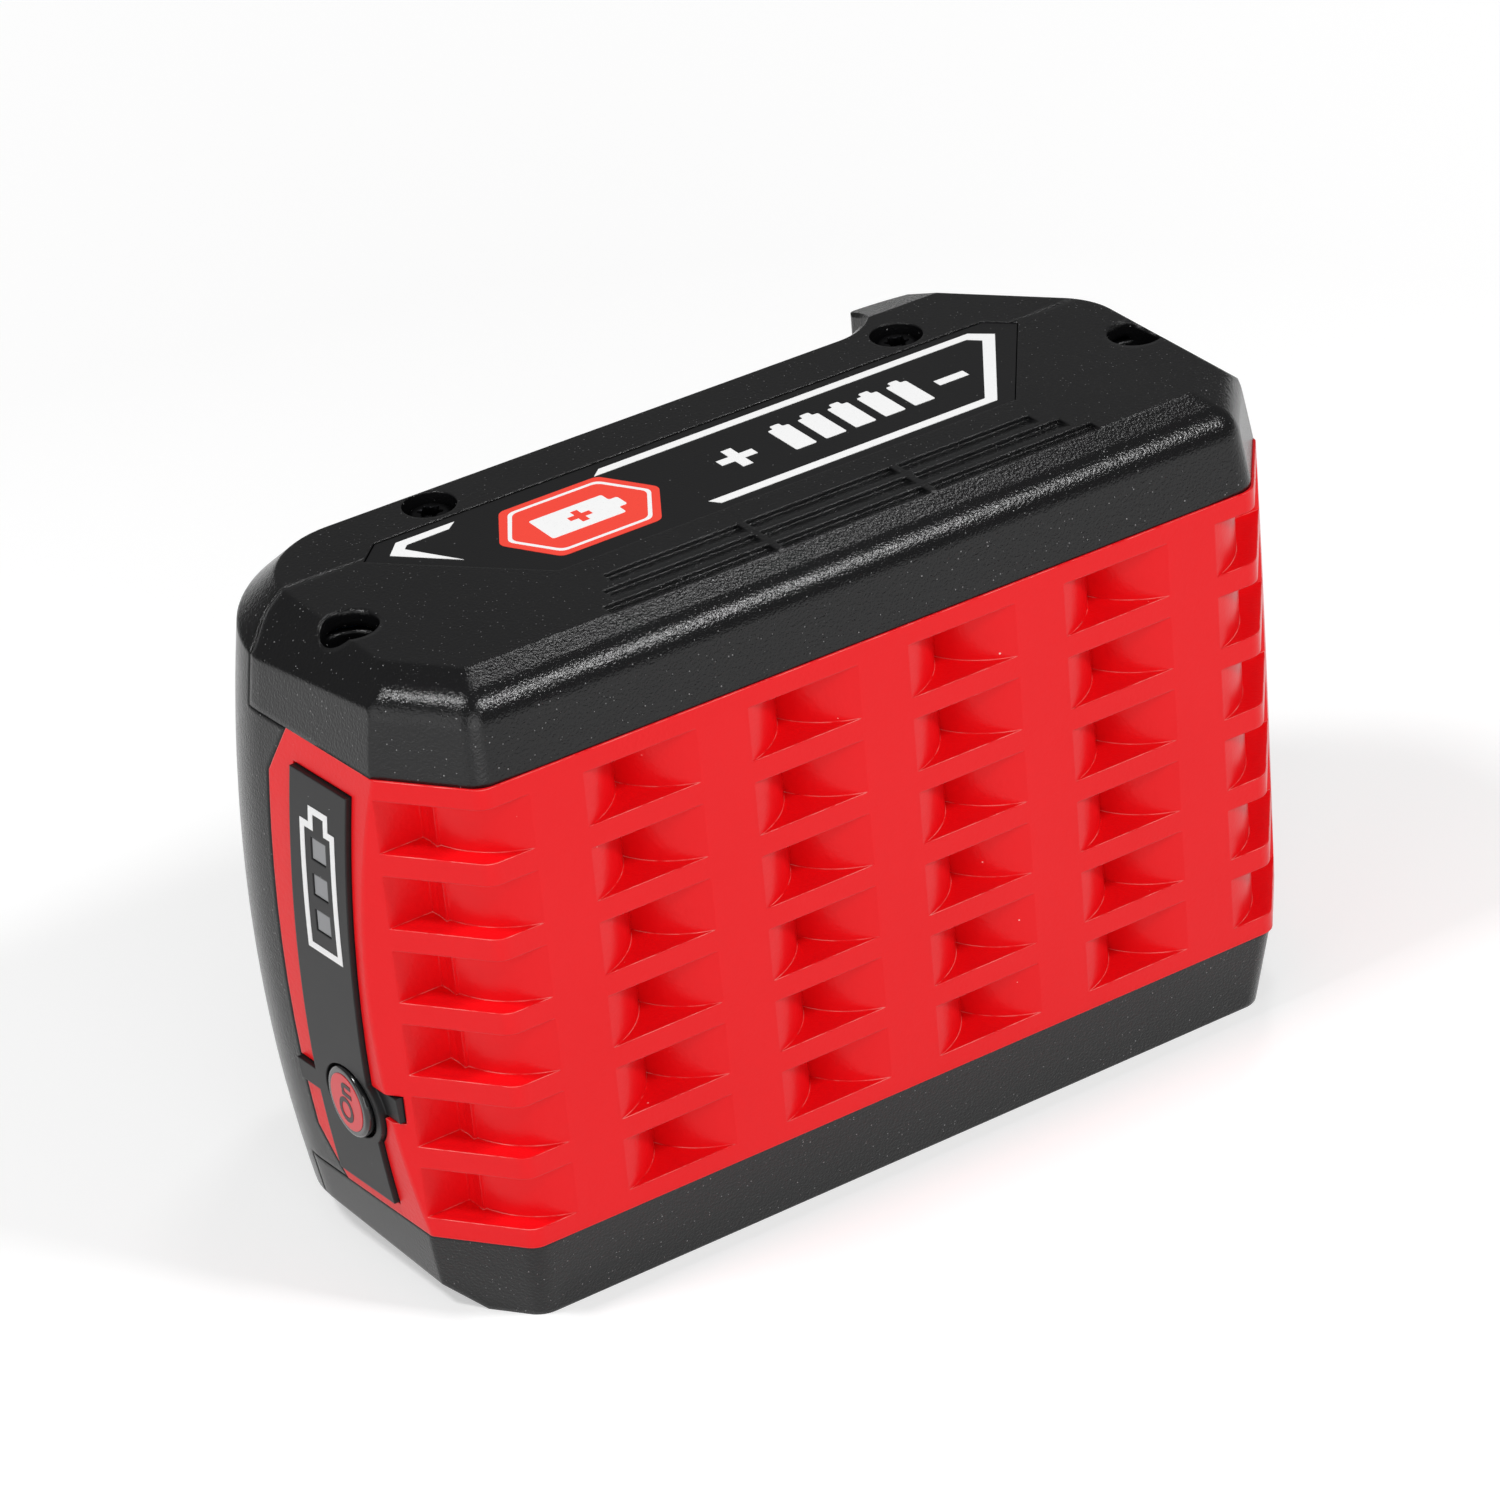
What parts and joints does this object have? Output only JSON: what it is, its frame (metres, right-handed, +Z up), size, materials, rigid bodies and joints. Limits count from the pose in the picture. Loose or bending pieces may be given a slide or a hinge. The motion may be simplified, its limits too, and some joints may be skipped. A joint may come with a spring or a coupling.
{
  "type": "power tool battery pack",
  "caption": "Slide-on cordless tool battery pack with a ribbed cell frame between dark side cheeks, a charge gauge with test button, and a rail block with a release latch.",
  "frame": {"origin": "centre of the outer size in X and Y, at the flat outer face of the lower cheek the pack stands on", "axes": "+X runs along the slide rail from the gauge end to the release-button end, -Y is the ribbed base, +Y the side that meets the tool, +Z up from the lower cheek to the upper cheek"},
  "size_m": [0.1136, 0.0628, 0.0726],
  "materials": {
    "shell_black": "fine spark-eroded texture",
    "frame_red": "satin moulded",
    "label_film": "printed satin film",
    "screw_steel": "black oxide",
    "nickel": "bare strip",
    "insulator": "barley paper",
    "foam": "closed-cell",
    "panel_black": "gloss",
    "window_grey": "frosted light guide",
    "holder_black": "plain moulded",
    "board_green": "solder mask",
    "led_white": "lens",
    "chip_black": "moulded package",
    "dome_rubber": "soft",
    "button_black": "gloss",
    "button_red": "gloss",
    "terminal_black": "glass-filled",
    "contact_brass": "bright",
    "latch_black": "satin",
    "release_red": "satin",
    "spring_steel": "bright wire",
    "cell_wrap": "shrink sleeve"
  },
  "bodies": {
    "pack": {"interface_housing": "shell_black", "upper_cheek": "shell_black", "lower_cheek": "shell_black", "cell_frame": "frame_red", "upper_label_plate": "label_film", "lower_label_plate": "label_film", "upper_screws": "screw_steel", "lower_screws": "screw_steel", "upper_strips": "nickel", "lower_strips": "nickel", "upper_insulator": "insulator", "lower_insulator": "insulator", "upper_foam_pad": "foam", "lower_foam_pad": "foam", "gauge_panel": "panel_black", "gauge_windows": "window_grey", "gauge_holder": "holder_black", "gauge_board": "board_green", "gauge_leds": "led_white", "test_switch": "chip_black", "test_switch_dome": "dome_rubber", "main_board": "board_green", "board_chips": "chip_black", "terminal_block": "terminal_black", "contact_terminals": "contact_brass", "positive_lead": "nickel", "negative_lead": "nickel", "latch_springs": "spring_steel", "cell_01": "cell_wrap", "cell_02": "cell_wrap", "cell_03": "cell_wrap", "cell_04": "cell_wrap", "cell_05": "cell_wrap", "cell_06": "cell_wrap", "cell_07": "cell_wrap", "cell_08": "cell_wrap", "cell_09": "cell_wrap", "cell_10": "cell_wrap"},
    "test_button_body": {"test_button": "button_black", "test_button_inlay": "button_red"},
    "latch_body": {"latch": "latch_black", "release_button": "release_red"}
  },
  "joints": [
    {"name": "test_button_press", "type": "slide", "parent": "pack", "child": "test_button_body", "axis": [1, 0, 0], "range_m": [0, 0.0004], "stiffness_N_per_m": 1200, "springref_m": -0.0006, "deforming": ["test_switch_dome"]},
    {"name": "latch_slide", "type": "slide", "parent": "pack", "child": "latch_body", "axis": [0, -1, 0], "range_m": [0, 0.0032], "stiffness_N_per_m": 1500, "springref_m": -0.0015, "deforming": ["latch_springs"]}
  ]
}
